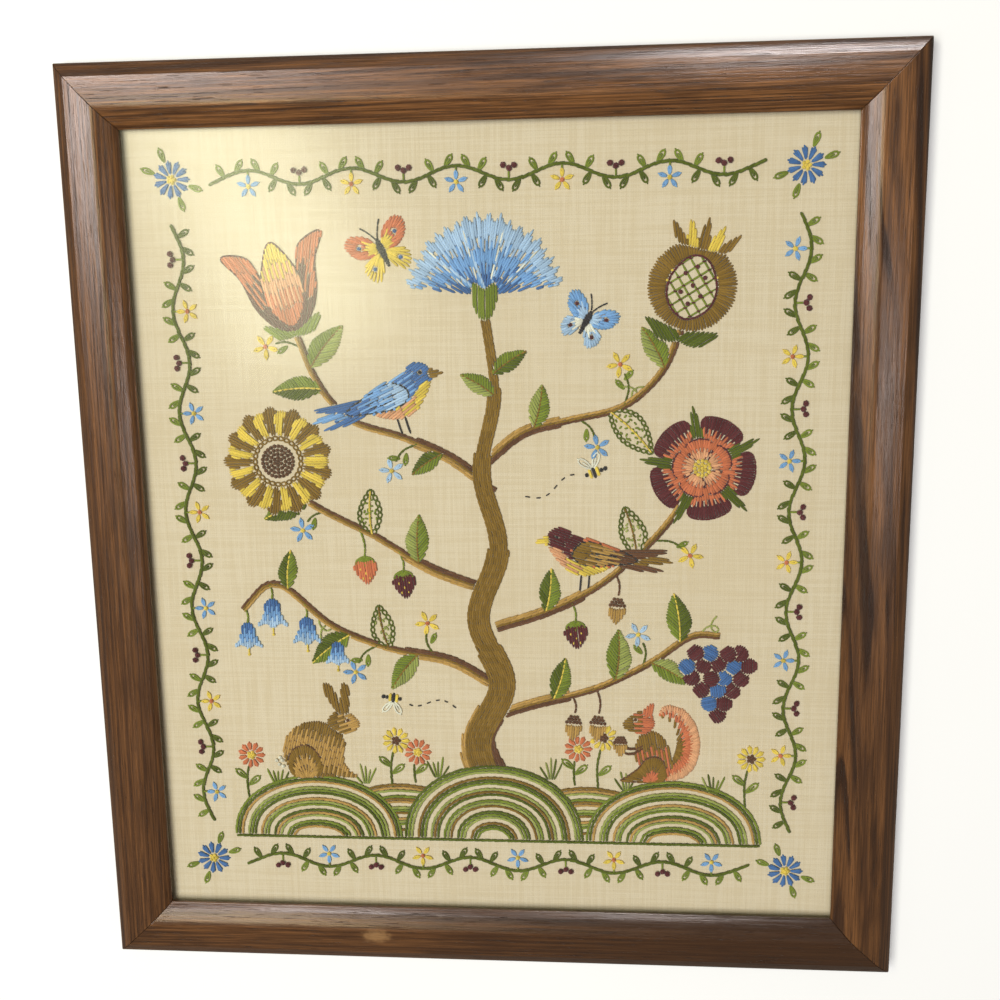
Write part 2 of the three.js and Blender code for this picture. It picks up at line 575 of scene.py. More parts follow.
def cover(outline):
    """Marks an outline as worked, so that later stitches pass behind it."""
    worked.append((outline.min(axis=0), outline.max(axis=0), outline))


def stretches(wanted):
    """Where each run of wanted points starts and ends."""
    edges = np.flatnonzero(np.diff(np.concatenate([[0], wanted, [0]])))
    return zip(edges[::2], edges[1::2])


def bare_stretches(line):
    """The parts of a line that lie on bare linen, with their points close together."""
    line = resample(line, CLOSE_MM)
    return [line[first:end] for first, end in stretches(bare(line)) if end - first >= FEWEST_POINTS]


def between(yarn, a, b, width, lift=1.0):
    """A straight strand from a to b, broken where something already lies in front of it."""
    for part in bare_stretches([a, b]):
        straight(yarn, part[0], part[-1], width, lift)


# %% [markdown]
# ## Lines of stitches
# Back stitch is a row of short strands. In stem stitch each strand starts beside the middle of the
# last, so the line looks like a thin rope. Chain stitch is a row of loops that hold each other.
# Several rows of stem stitch side by side make a branch.


# %% Back, stem and chain stitch
SLANT = 0.22
FINE = 0.7


def back(yarn, line, width=0.85, lift=1.0):
    """Back stitch along a line, raised by its lift and broken where something already lies in front."""
    for part in bare_stretches(line):
        spots = resample(part, 2.7)
        for a, b in zip(spots, spots[1:]):
            straight(yarn, a, b, width, lift)


def stem(yarn, line, width, step=3.0):
    """Stem stitch along a line."""
    for part in bare_stretches(line):
        spots = resample(part, step)
        side = sideways(spots)
        last = len(spots) - 1
        for i in range(last):
            j = min(i + 2, last)
            end = (spots[i + 1] + spots[j]) / 2 + SLANT * side[j]
            straight(yarn, spots[i] - SLANT * side[i], end, width)


def chain(yarn, line):
    """Chain stitch along a line."""
    for part in bare_stretches(line):
        spots = resample(part, 2.9)
        for a, b in zip(spots, spots[1:]):
            loop(yarn, a - 0.15 * (b - a), b, 0.75, 0.62)


# %% Rows of stem stitch
ROW_MM = 1.1


def ribbon(yarns, line, widths):
    """Rows of stem stitch side by side, as many as the branch is wide, the yarns from side to side."""
    line = resample(line, 0.6)
    side = sideways(line)
    half = np.interp(np.linspace(0, 1, len(line)), np.linspace(0, 1, len(widths)), widths) / 2
    count = max(1, round(2 * half.max() / ROW_MM))
    for row in range(count):
        off = (row - (count - 1) / 2) * ROW_MM
        yarn = yarns[int(len(yarns) * (row + 0.5) / count)]
        for first, end in stretches(np.abs(off) <= half):
            if end - first > 5:
                stem(yarn, line[first:end] + off * side[first:end], 1.05, 3.6)
    cover(np.concatenate([line + half[:, None] * side, (line - half[:, None] * side)[::-1]]))


# %% [markdown]
# ## Fillings
# Satin stitch lays strands side by side from edge to edge. Long and short stitch does it in bands
# that run into each other, so that one yarn shades into the next, either straight or spread like a
# fan. Seeding scatters short strands, and a trellis ties down two sets of long ones.


# %% Satin stitch
PITCH = 1.2
FIRST_ROW = 0.45


def crossings(outline, angle, level):
    """Where a line at this angle and level cuts the outline, as distances along the line."""
    u, v = outline @ ray(angle), outline @ ray(angle + 90)
    u2, v2 = np.roll(u, -1), np.roll(v, -1)
    cut = (v <= level) != (v2 <= level)
    return np.sort(u[cut] + (level - v[cut]) * (u2[cut] - u[cut]) / (v2[cut] - v[cut]))


def rows(outline, angle, pitch):
    """Parallel rows across an outline: a point that the row passes, and where it starts and ends."""
    levels = outline @ ray(angle + 90)
    for level in np.arange(levels.min() + FIRST_ROW * pitch, levels.max(), pitch):
        cuts = crossings(outline, angle, level)
        for first, last in zip(cuts[::2], cuts[1::2]):
            yield level * ray(angle + 90), first, last


def closing_width(pitch):
    """A strand just wide enough to lie against the next row."""
    return 1.1 * pitch / STRAND


def satin(yarn, outline, angle, pitch=PITCH):
    """Satin stitch across an outline."""
    way = ray(angle)
    for base, first, last in rows(outline, angle, pitch):
        a, b = first - rng.uniform(0, 0.35), last + rng.uniform(0, 0.35)
        between(yarn, base + a * way, base + b * way, closing_width(pitch))


# %% Long and short stitch
LONGEST, SHORTEST = 15.0, 1.0
STAGGER, FAN_STAGGER = 0.28, 0.22


def shaded(yarns, outline, angle):
    """Long and short stitch: bands along the angle, one yarn after the other."""
    way = ray(angle)
    reach = outline @ way
    band = np.ptp(reach) / len(yarns)
    for row, (base, first, last) in enumerate(rows(outline, angle, PITCH)):
        ends = [first - rng.uniform(0, 0.3)]
        shift = STAGGER if row % 2 else -STAGGER
        for k in range(1, len(yarns)):
            ends.append(reach.min() + band * (k + shift + rng.normal(0, 0.08)))
        ends.append(last + rng.uniform(0, 0.3))
        for yarn, a, b in zip(yarns, ends, ends[1:]):
            a, b = max(a, ends[0]), min(b, ends[-1])
            if b - a > SHORTEST:
                cuts = np.linspace(a, b, math.ceil((b - a) / LONGEST) + 1)
                cuts[1:-1] += rng.uniform(-2, 2, len(cuts) - 2)
                for p, q in zip(cuts, cuts[1:]):
                    between(yarn, base + (p - 0.3) * way, base + q * way, closing_width(PITCH))


def fan(yarns, focus, outline):
    """Long and short stitch that spreads out from a focus, one yarn after the other."""
    focus = np.array(focus, float)
    rel = outline - focus
    radii = np.hypot(*rel.T)
    around = inside(focus[None], outline)[0]
    middle = rel.mean(axis=0)
    facing = math.degrees(math.atan2(middle[1], middle[0]))
    spread = (np.degrees(np.arctan2(rel[:, 1], rel[:, 0])) - facing + 180) % 360 - 180
    low, high = (0, 360) if around else (facing + spread.min(), facing + spread.max())
    many = len(yarns)
    for k, yarn in enumerate(yarns):
        reach = np.interp((k + 0.5) / many, (0, 1), (0 if around else radii.min(), radii.max()))
        step = math.degrees(PITCH / max(1.08 * reach, 1.0))
        for i, angle in enumerate(np.arange(low + step / 2, high, step)):
            cuts = crossings(rel, angle, 0.0)
            cuts = cuts[cuts > 0]
            if len(cuts) % 2:
                cuts = np.concatenate([[0], cuts])
            for near, far in zip(cuts[::2], cuts[1::2]):
                jag = FAN_STAGGER * (far - near) / many * (1 if i % 2 else -1)
                a = near + (far - near) * k / many + (jag if k else 0) - 0.4
                rim = jag if k < many - 1 else rng.uniform(-0.2, 0.4)
                b = near + (far - near) * (k + 1) / many + rim
                if b - a > SHORTEST:
                    between(yarn, focus + a * ray(angle), focus + b * ray(angle), closing_width(PITCH))


# %% Seeds and trellis
def seeds(yarn, outline, spacing):
    """Seed stitch: short strands scattered at all angles over an outline."""
    low, high = outline.min(axis=0), outline.max(axis=0)
    x, y = np.meshgrid(*(np.arange(a, b, spacing) for a, b in zip(low, high)))
    spots = np.stack([x.ravel(), y.ravel()], axis=1) + rng.normal(0, 0.25 * spacing, (x.size, 2))
    for spot in spots[inside(spots, outline) & bare(spots)]:
        off = 0.8 * ray(rng.uniform(0, 180))
        straight(yarn, spot - off, spot + off, 0.75)


def trellis(yarn, tie, outline, angle, pitch):
    """Two sets of long strands, tied down where they cross."""
    way, side = ray(angle), ray(angle + 90)
    for turn in (angle, angle + 90):
        for base, first, last in rows(outline, turn, pitch):
            between(yarn, base + first * ray(turn), base + last * ray(turn), 0.8, 0.8)
    along, across = outline @ way, outline @ side
    ups = np.arange(across.min() + FIRST_ROW * pitch, across.max(), pitch)
    outs = -np.arange(-along.max() + FIRST_ROW * pitch, -along.min(), pitch)
    spots = np.array([p * way + q * side for p in outs for q in ups])
    for x, y in spots[inside(spots, outline)]:
        straight(tie, (x - 0.8, y), (x + 0.8, y), 0.65, 1.6)


# %% [markdown]
# ## Motifs
# The panel shows a tree of life, an old crewel pattern: one tree on small hills, with different
# flowers, fruit and birds on its branches. A motif is drawn round its own origin and then put in its
# place, so most functions below take a place first.


# %% Where a motif goes
class Place:
    """What is drawn round an origin is sized, mirrored, turned and moved."""

    def __init__(self, x, y, turn=0.0, size=1.0, flip=False):
        self.at, self.turn, self.size, self.flip = np.array([x, y], float), turn, size, flip

    def points(self, shape):
        drawn = np.array(shape, float) * self.size * ((-1, 1) if self.flip else (1, 1))
        return drawn @ np.array([ray(self.turn), ray(self.turn + 90)]) + self.at

    def point(self, x, y):
        return self.points([(x, y)])[0]

    def outline(self, shape):
        return smooth(self.points(shape), closed=True)

    def line(self, shape):
        return smooth(self.points(shape))

    def angle(self, degrees):
        return self.turn + (180 - degrees if self.flip else degrees)

    def circle(self, x, y, radius):
        turns = np.linspace(0, 360, 40, endpoint=False)
        return self.points([(x, y) + radius * ray(turn) for turn in turns])


def sew_shape(place, yarns, shape, angle, edge=None):
    """A shape in satin stitch, or in long and short with a list of yarns, and its edge if any."""
    outline = place.outline(shape)
    filling = satin if isinstance(yarns, str) else shaded
    filling(yarns, outline, place.angle(angle))
    if edge:
        back(edge, ring(outline), FINE)
    cover(outline)


def mirrored(shape, way):
    """A shape on the right side, or its mirror image on the left."""
    return [(way * x, y) for x, y in shape]


# %% [markdown]
# ### Leaves and small flowers
# A leaf is worked in two halves that slant up from the vein, one darker than the other. Some leaves
# stay open, with an edge in chain stitch and seeds inside. Loops make the smallest leaves and petals.

# %% Leaves
# share of the length, share of the half width
LEAF_EDGE = ((0, 0), (0.12, 0.5), (0.32, 0.92), (0.52, 1.0), (0.76, 0.66), (0.92, 0.25), (1, 0))


def leaf(place, length, yarns, vein, bend, filled):
    """A leaf along +Y whose tip bends sideways, in two halves or open with seeds."""
    def bent(x, y):
        return x + bend * (y / length) ** 2, y

    spine = place.line([bent(0, share * length) for share in (0, 0.25, 0.5, 0.75, 1)])
    edges = []
    for way, yarn, slant in ((1, yarns[0], 42), (-1, yarns[1], 138)):
        half = way * 0.24 * length
        edge = place.line([bent(half * wide, share * length) for share, wide in LEAF_EDGE])
        if filled:
            satin(yarn, np.concatenate([spine, edge[::-1]]), place.angle(slant))
        else:
            chain(yarns[0], edge)
        edges.append(edge)
    whole = np.concatenate([edges[0], edges[1][::-1]])
    middle = whole.mean(axis=0)
    if not filled:
        seeds(yarns[1], middle + 0.78 * (whole - middle), 2.5)
    back(vein, spine, 0.8, 1.25)
    cover(whole)


def leaf_stitch(yarn, a, b):
    """The smallest leaf: a loop with one strand in it, where there is room for it."""
    a, b = np.array(a, float), np.array(b, float)
    run = b - a
    across = 0.25 * np.array([-run[1], run[0]])
    if bare([a + 0.3 * run, a + 0.6 * run + across, a + 0.6 * run - across, b]).all():
        loop(yarn, a, b, 0.46)
        straight(yarn, a + 0.2 * run, a + 0.75 * run, 0.8, 0.8)


# %% Small flowers, tendrils and grass
TENDRIL_MM = 16.0


def small_flower(place, petals, eye, reach):
    """Loops round a knot, each with a strand in it."""
    knot(eye, place.at, 1.15)
    for turn in range(0, 360, 72):
        way = ray(place.turn + 90 + turn)
        leaf_stitch(petals, place.at + 1.3 * way, place.at + reach * way)
    cover(place.circle(0, 0, 0.85 * reach / place.size))


def daisy(place, petals, eye, reach):
    """Petals in satin stitch, three strands each, round a patch of knots."""
    for turn in range(0, 360, 72):
        knot(eye, place.at + 1.5 * ray(turn), 1.0)
    knot(eye, place.at, 1.1)
    for k in range(11):
        turn = 360 * k / 11
        for off, share in ((-7, 0.9), (0, 1.0), (7, 0.9)):
            tip = place.at + share * reach * ray(turn + off)
            between(petals, place.at + 2.7 * ray(turn), tip, 0.95)
    cover(place.circle(0, 0, 0.9 * reach / place.size))


def tendril(place, yarn):
    """A curl that winds in on itself."""
    curl = []
    for t in np.linspace(0, 1, 40):
        x = TENDRIL_MM * t * 0.7 + 0.32 * TENDRIL_MM * (1 - t) * math.sin(9 * t)
        curl.append((x, 0.3 * TENDRIL_MM * (1 - t) * math.cos(9 * t)))
    back(yarn, place.line(np.array(curl) - curl[0]), FINE)


def grass(x, y, yarns):
    """A tuft of long strands that spread upwards."""
    for off in (-3, -1.4, 0, 1.4, 3):
        tip = (x + 1.9 * off, y + rng.uniform(7, 12) - abs(off))
        between(yarns[int(rng.integers(len(yarns)))], (x + 0.5 * off, y - 1), tip, 0.8)


# %% [markdown]
# ### Large flowers
# Shading does the work here: most petals run from a dark base to a pale rim, or the other way round.

# %% Petals and knots
# share of the way from inner to outer end, share of the width
PETAL_EDGE = ((0, 0.3), (0.35, 0.75), (0.7, 1.0), (0.92, 0.72), (1.03, 0.0))


def petal(place, turn, inner, outer, width):
    """Outline of one round petal that points away from the flower's middle."""
    shape = []
    for share, wide in PETAL_EDGE:
        shape.append((inner + share * (outer - inner), wide * width / 2))
    full = np.array(shape + [(x, -y) for x, y in shape[-2::-1]])
    return place.outline(full @ np.array([ray(turn), ray(turn + 90)]))


def rosette(place, count, inner, outer, width, yarns, start, edge):
    """A ring of petals in long and short stitch, each with an edge."""
    for k in range(count):
        shape = petal(place, start + 360 * k / count, inner, outer, width)
        fan(yarns, place.at, shape)
        back(edge, ring(shape), FINE)
        cover(shape)


def knots_disc(place, yarn, radius, spacing=1.9):
    """A round patch of knots, ring after ring."""
    knot(yarn, place.at)
    for turn in range(1, int(radius / spacing) + 1):
        count = int(2 * math.pi * turn)
        for k in range(count):
            knot(yarn, place.at + turn * spacing * ray(360 * (k + 0.5 * (turn % 2)) / count))
    cover(place.circle(0, 0, (radius + 0.6) / place.size))


# %% Large flowers
def carnation(place, yarns, light, green):
    """A fan of fringed petals on a green cup."""
    cup = [(-3.2, 0), (-5.6, 8), (-4.6, 14), (0, 11.5), (4.6, 14), (5.6, 8), (3.2, 0), (0, -2)]
    sew_shape(place, green, cup, 90)
    for turn in (150, 120, 90, 60, 30):
        rim = []
        for k in range(9):
            reach = (40 if k % 2 else 35.5) - 3.2 * abs(turn - 90) / 60
            rim.append((0, 4) + reach * ray(turn - 15.5 + 31 * k / 8))
        base = [(3 * ray(turn - 60)[0], 9), (3 * ray(turn + 60)[0], 9)]
        shape = resample(ring(place.points([base[0], *rim, base[1]])), 0.8)[:-1]
        fan(yarns, place.point(0, 4), shape)
        cover(shape)
    for turn in (135, 105, 75, 45):
        for near, far in ((11, 19), (19, 27), (27, 34)):
            ends = place.points([(0, 4) + near * ray(turn), (0, 4) + far * ray(turn)])
            straight(light, *ends, 0.8, 1.3)


def tulip(place, outer, inner, edge, green):
    """Three petals: the middle one stands in front, the outer two curl away."""
    front = [(0, 0), (-7, 8), (-8.6, 20), (-4.6, 31), (0, 37), (4.6, 31), (8.6, 20), (7, 8)]
    sew_shape(place, inner, front, 90, edge)
    for way in (1, -1):
        side = ((0, -1.5), (8, 2), (14, 12), (17, 25), (23, 36), (12, 33), (8, 22), (5, 8))
        sew_shape(place, outer, mirrored(side, way), 90 - way * 22, edge)
    for way in (1, -1):
        sepal = ((0, -4), (8, -4), (13, 3), (6, 1), (1, -1))
        sew_shape(place, green, mirrored(sepal, way), 90 - way * 40)


def sunflower(place, yarns, eye, rim, radius):
    """Two kinds of pointed petals round a disc of knots."""
    knots_disc(place, eye, 0.34 * radius)
    chain(rim, ring(place.circle(0, 0, 0.43 * radius)))
    cover(place.circle(0, 0, 0.46 * radius))
    for k in range(26):
        turn = 360 / 26 * k
        shape = petal(place, turn, 0.46 * radius, radius * (1.0 if k % 2 else 0.93), 0.26 * radius)
        satin(yarns[k % 2], shape, place.angle(turn))
        cover(shape)


def dog_rose(place, inner, outer, edge, eye, green, radius):
    """One ring of petals inside the other, with leaf tips between them."""
    knots_disc(place, eye, 3.6, 1.8)
    rosette(place, 5, 4.2, 0.56 * radius, 0.52 * radius, inner, 90, edge)
    rosette(place, 5, 0.42 * radius, radius, 0.86 * radius, outer, 54, edge)
    for turn in range(90, 450, 72):
        left, right = (0.5 * radius * ray(turn + off) for off in (-14, 14))
        sew_shape(place, green, [left, 1.22 * radius * ray(turn), right], turn)
    cover(place.circle(0, 0, 0.74 * radius))


def bluebell(place, yarns, stamen):
    """A hanging bell with a turned-up brim, drawn with its stalk at the top."""
    brim = [(0, 0), (-3.4, -2.4), (-4.6, -8), (-7.4, -13.4), (-3.4, -12.2), (0, -14.6),
            (3.4, -12.2), (7.4, -13.4), (4.6, -8), (3.4, -2.4)]
    sew_shape(place, yarns, brim, -90)
    straight(stamen, place.point(0, -13), place.point(0, -17), 0.7)
    knot(stamen, place.point(0, -17.6), 0.8)


# %% [markdown]
# ### Fruit
# Round things are worked with every strand straight, and the light that runs along the strands makes
# them look round. Each berry lies at its own angle, which keeps the bunch from looking flat.


# %% Fruit
def pomegranate(place, rind, light, net, seed, green):
    """A round fruit, its skin split to show a netted middle."""
    split = place.outline([(0, 5), (-9, 11), (-11, 21), (-6, 31), (0, 34), (6, 31), (11, 21), (9, 11)])
    for x in (-9, -4.5, 0, 4.5, 9):
        yarn = light if abs(x) == 4.5 else rind
        tooth = [(x - 2.6, 38), (x * 1.7, 51 - abs(x) * 0.5), (x + 2.6, 38)]
        sew_shape(place, yarn, tooth, 90 - x * 2.5)
    trellis(net, seed, split, place.angle(45), 4.6)
    for x, y in ((0, 12), (-4.5, 16.5), (4.5, 16.5), (0, 20.5), (-4.5, 25), (4.5, 25), (0, 29)):
        knot(seed, place.point(x, y), 1.15)
    back(seed, ring(split), 0.9, 1.25)
    cover(split)
    body = place.circle(0, 20, 20)
    fan([light, rind], place.point(0, 20), body)
    cover(body)
    for way in (1, -1):
        sepal = ((0, -5), (9, -6), (17, 2), (8, 1), (2, -1))
        sew_shape(place, green, mirrored(sepal, way), 90 - way * 45)


def grapes(place, yarns):
    """A bunch of round berries."""
    for row, count in enumerate((4, 5, 4, 3, 2, 1)):
        for k in range(count):
            x = (k - (count - 1) / 2) * 7.6 + rng.normal(0, 0.5)
            berry = place.circle(x, -5 - 6.4 * row + rng.normal(0, 0.4), 4.1)
            satin(yarns[(row + k) % len(yarns)], berry, rng.uniform(0, 180), 1.1)
            cover(berry)


def strawberry(place, flesh, seed, green):
    """A heart with seeds on it and a green cap, drawn with its stalk at the top."""
    for x in (-4.6, 0, 4.6):
        leaf_stitch(green, place.point(0, 1.6), place.point(x, -3 + 0.3 * abs(x)))
    for x, y in ((-2.8, -5), (2.8, -5), (0, -7.4), (-1.8, -10), (1.8, -10)):
        straight(seed, place.point(x, y + 0.8), place.point(x, y - 0.8), 0.6, 1.5)
    heart = [(0, 0), (-4.6, -0.6), (-6, -5), (-3.4, -10.4), (0, -13.6),
             (3.4, -10.4), (6, -5), (4.6, -0.6)]
    sew_shape(place, flesh, heart, 90)


def acorn(place, nut, cap):
    """A nut in satin stitch under a cap of knots, drawn with its stalk at the top."""
    for row, count in enumerate((3, 4, 5)):
        for k in range(count):
            knot(cap, place.point((k - (count - 1) / 2) * 1.9, -0.5 - 1.7 * row), 0.9)
    cover(place.outline([(-5, -4.8), (-3.6, 0), (0, 1.4), (3.6, 0), (5, -4.8)]))
    shell = [(-4.2, -4.4), (-4.2, -9), (-1.8, -13), (0, -15), (1.8, -13), (4.2, -9), (4.2, -4.4)]
    sew_shape(place, nut, shell, 90)


# %% [markdown]
# ### Birds, insects and animals
# The eye comes first, since it lies on top of all else. Then come wing, breast and body, so that
# the feathers in front overlap those behind.


# %% Birds
def bird(place, body, breast, wing, tail, beak, dark):
    """A perching bird that looks along +X."""
    knot(dark, place.point(15.8, 11.2), 0.95)
    cover(place.circle(15.8, 11.2, 1.1))
    sew_shape(place, beak, [(20.2, 12), (24, 11), (27, 9.4), (24, 8.4), (20.4, 8)], 0)
    for a, b in (((3, 2.6), (-14, -0.8)), ((3, 0.2), (-12, -3))):
        back(dark, place.line([a, b]), FINE, 1.25)
    feathers = [(8, 4), (1, 8), (-10, 4.5), (-24, -3.5), (-12, -5), (1, -4.4), (8, -0.5)]
    sew_shape(place, wing, feathers, 197, dark)
    chest = [(20, 6), (15, 5), (9, -1), (0, -5), (-9, -6.2), (0, -9.6), (9, -8), (15.4, -2)]
    sew_shape(place, breast, chest, 210)
    rump = [(21, 10), (18, 15), (12, 15.8), (6, 11.5), (-4, 8), (-14, 3), (-18, -1), (-10, -6), (0, -6),
            (9, -1), (15, 4), (20, 6.4)]
    sew_shape(place, body, rump, 205)
    for k, (x, y) in enumerate(((-40, 0), (-42, -5.5), (-36, -10))):
        upper, lower = (0.6 * x, 0.55 * y + 2), (0.62 * x, 0.6 * y - 2.6)
        plume = [(-13, 2 - 2 * k), upper, (x, y), lower, (-12, -1 - 1.6 * k)]
        sew_shape(place, tail[k % len(tail)], plume, 184 + 7 * k)
    for x in (1, 5):
        straight(dark, place.point(x, -9), place.point(x + 1.4, -17.6), 0.8)


# %% Butterflies and bees
def butterfly(place, upper, lower, spot, dark):
    """Wings spread flat, body along +Y."""
    sew_shape(place, dark, [(0, -6.5), (-1.3, -1), (-1.4, 4), (0, 7), (1.4, 4), (1.3, -1)], 0)
    for way in (1, -1):
        for x, y in ((9, 6.5), (6.5, -5)):
            knot(spot, place.point(way * x, y), 1.0)
            cover(place.circle(way * x, y, 1.2))
        for yarns, wing in ((upper, ((1.2, 3), (5, 10), (12, 13), (15, 9), (12, 3), (6, 0.5))),
                            (lower, ((1.2, 0), (6, 0), (11, -3), (10, -9), (6, -11), (2.4, -6)))):
            shape = place.outline(mirrored(wing, way))
            fan(yarns, place.point(0, 2), shape)
            cover(shape)
        back(dark, place.line(mirrored(((0.5, 7), (2.4, 11), (5, 14.5)), way)), 0.6)


def bee(place, light, dark, wing):
    """A striped body with two looped wings, and short strands where it flew."""
    for way in (30, -30):
        leaf_stitch(wing, place.point(0, 1.4), place.point(*(9 * ray(90 + way))))
    for k, yarn in enumerate((dark, light, dark, light, dark)):
        x = 3.4 - 1.7 * k
        tall = 2.6 - 0.28 * x * x * 0.6
        between(yarn, place.point(x, -tall), place.point(x, tall), 1.35)
    knot(dark, place.point(5.2, 0), 1.1)
    for k in range(1, 7):
        ends = [(-4 - 4.4 * k, 2.6 * math.sin(k)), (-6 - 4.4 * k, 2.6 * math.sin(k + 0.45))]
        between(dark, *place.points(ends), 0.55)


# %% Animals
def rabbit(place, fur, shade, dark, white):
    """A rabbit sitting up, looking along +X."""
    knot(dark, place.point(14.6, 13.6), 0.9)
    cover(place.circle(14.6, 13.6, 1.1))
    for ear in (((10, 17), (5.4, 24), (3, 31), (7, 31), (10, 25), (12.4, 17.5)),
                ((12, 17.5), (11.4, 25), (12.6, 32), (15.4, 30), (15.6, 24), (15, 17))):
        sew_shape(place, shade, ear, 100)
    head = [(5, 12), (8, 17), (13, 18.5), (18, 15.4), (20.4, 11.4), (17, 8), (11, 7)]
    sew_shape(place, [shade, fur], head, 20)
    haunch = place.outline([(-15, -9), (-13, -2), (-6, 1), (0, -4), (1, -11), (-3, -15), (-12, -15)])
    fan([fur, fur, shade], place.point(-6, -17), haunch)
    back(dark, haunch, FINE)
    cover(haunch)
    for x, y in ((-18, -7), (-19.5, -9), (-17.6, -10), (-19, -5.6), (-20.6, -7.2)):
        knot(white, place.point(x, y), 1.0)
    body = [(-16, -8), (-17, 1), (-12, 9), (-4, 12.5), (4, 12), (11, 8), (13, 1), (12, -7), (15, -12),
            (18, -14.6), (9, -15), (0, -15), (-10, -15)]
    sew_shape(place, [shade, fur, fur, shade], body, 75)


def squirrel(place, fur, tail, dark, nut, cap):
    """A squirrel sitting up with an acorn, looking along +X."""
    knot(dark, place.point(7.6, 15.4), 0.85)
    cover(place.circle(7.6, 15.4, 1.0))
    acorn(Place(*place.point(14.4, 7), 0, 0.72), nut, cap)
    for arm in (((3, 4), (8, 1), (13, 2.5)), ((4, 2), (9, -1.5), (13.4, 0))):
        stem(dark, place.line(arm), 1.1, 2.4)
    sew_shape(place, fur[0], [(0.6, 17), (-0.4, 23.5), (4.4, 19)], 100)
    head = [(-1, 13), (1, 18), (5, 19.6), (10, 17), (13.4, 12.6), (9, 9.6), (3, 9)]
    sew_shape(place, fur, head, 0)
    thigh = place.outline([(-7, -9), (-4, -3), (2, -3), (6, -8), (11, -12), (14, -14.4),
                           (0, -14.6), (-6, -13.6)])
    fan(fur, place.point(0, -14), thigh)
    back(dark, thigh, FINE)
    cover(thigh)
    body = [(-6, -14), (-9, -6), (-7, 4), (-2, 9.6), (4, 9.6), (7.4, 3), (7, -4), (5, -9), (2, -14)]
    sew_shape(place, fur, body, 80)
    plume = place.outline([(-6, -13), (-15, -12), (-21, -3), (-21, 10), (-15, 20), (-7, 22.6), (-3, 18),
                           (-7.6, 15.4), (-11, 10), (-11.4, 2), (-9, -5)])
    fan(tail, place.point(-9, 1), plume)
    cover(plume)


# %% Hillocks
GROUND = -160


def hillock(x, top, half, yarns):
    """A mound worked in arches, each one in the next yarn."""
    def arch(depth):
        turns = np.linspace(math.pi, 0, 19)
        wide, rise = half - 1.1 * depth, top - GROUND - depth
        return np.array([(x + wide * math.cos(t), GROUND + rise * math.sin(t) ** 0.9) for t in turns])

    depth, row = 0.0, 0
    while top - GROUND - depth > 3:
        stem(yarns[row % len(yarns)], arch(depth), 1.1, 3.4)
        depth += 3.2 if row % 3 == 2 else 1.5
        row += 1
    cover(np.concatenate([arch(0.0), [(x + half, GROUND), (x - half, GROUND)]]))


# %% [markdown]
# ## The picture
# Now the whole panel is sewn, from front to back: animals and birds, then flowers and fruit, then
# leaves, the trunk before its branches, the hills, and last the border. The yarns are few, as they
# would be in one sewing basket: three greens, three blues, and warm browns, yellows and reds.

# %% Yarns and branches
YARNS = {
    "leaf_dark": (92, 104, 26), "leaf_mid": (126, 141, 46), "leaf_light": (162, 170, 90),
    "maroon": (98, 42, 46), "yellow": (236, 208, 88), "gold": (140, 108, 42), "tan": (194, 154, 84),
    "sky": (126, 172, 222), "pale_blue": (176, 204, 232), "deep_blue": (76, 118, 176),
    "coral": (212, 122, 82), "peach": (230, 172, 128), "brown": (108, 72, 48), "black": (54, 52, 54),
    "white": (244, 238, 220),
}
DARK, MID, LIGHT = "leaf_dark", "leaf_mid", "leaf_light"
TRUNK = smooth([(0, -134), (-7, -106), (6, -76), (-6, -42), (5, -6), (-3, 32), (4, 70), (0, 108)])
BRANCHES = {
    "sunflower": smooth([(-4, -26), (-30, -16), (-56, 0), (-76, 10), (-92, 20), (-104, 38)]),
    "rose": smooth([(3, -46), (28, -38), (52, -26), (74, -8), (90, 10), (104, 34)]),
    "tulip": smooth([(3, 22), (-16, 38), (-42, 50), (-66, 58), (-82, 76), (-93, 104)]),
    "pomegranate": smooth([(0, 38), (18, 52), (42, 58), (66, 64), (84, 80), (93, 100)]),
    "bells": smooth([(4, -78), (-20, -64), (-50, -58), (-80, -46), (-108, -24), (-126, -38)]),
    "grapes": smooth([(-2, -94), (22, -86), (52, -78), (80, -64), (100, -50), (114, -50)]),
}


def spot_on(line, share):
    """A point on a line, and the angle of the line there."""
    i = min(int(share * (len(line) - 1)), len(line) - 3)
    way = line[i + 2] - line[max(i - 2, 0)]
    return line[i], math.degrees(math.atan2(way[1], way[0]))


def report(what):
    """Says what has just been sewn, and how many stitches there are by now."""
    print(what, "sewn, stitches so far:", sum(len(stitches) for stitches in sewn.values()))


# %% Animals, birds and insects
rabbit(Place(-90, -111, 0, 1.08), "tan", "gold", "brown", "white")
squirrel(Place(81, -111, 0, 1.1, True), ["coral", "gold"], ["gold", "coral", "peach"],
         "brown", "tan", "brown")
bird(Place(-46, 68, 8, 1.0), ["deep_blue", "sky", "sky"], ["yellow", "peach"],
     ["pale_blue", "sky", "deep_blue"], ["deep_blue", "sky"], "gold", "black")
bird(Place(50, -10, 4, 0.98, True), ["maroon", "coral"], ["peach", "yellow"],
     ["gold", "tan", "brown"], ["brown", "gold"], "yellow", "black")
butterfly(Place(-48, 138, 25, 1.05), ["yellow", "coral"], ["yellow"], "deep_blue", "black")
butterfly(Place(48, 104, -30, 0.9), ["pale_blue", "sky"], ["white", "pale_blue"], "maroon", "black")
bee(Place(52, 32, 20, 1.1), "yellow", "black", "white")
bee(Place(-50, -84, 172, 1.0), "yellow", "black", "white")
report("animals")

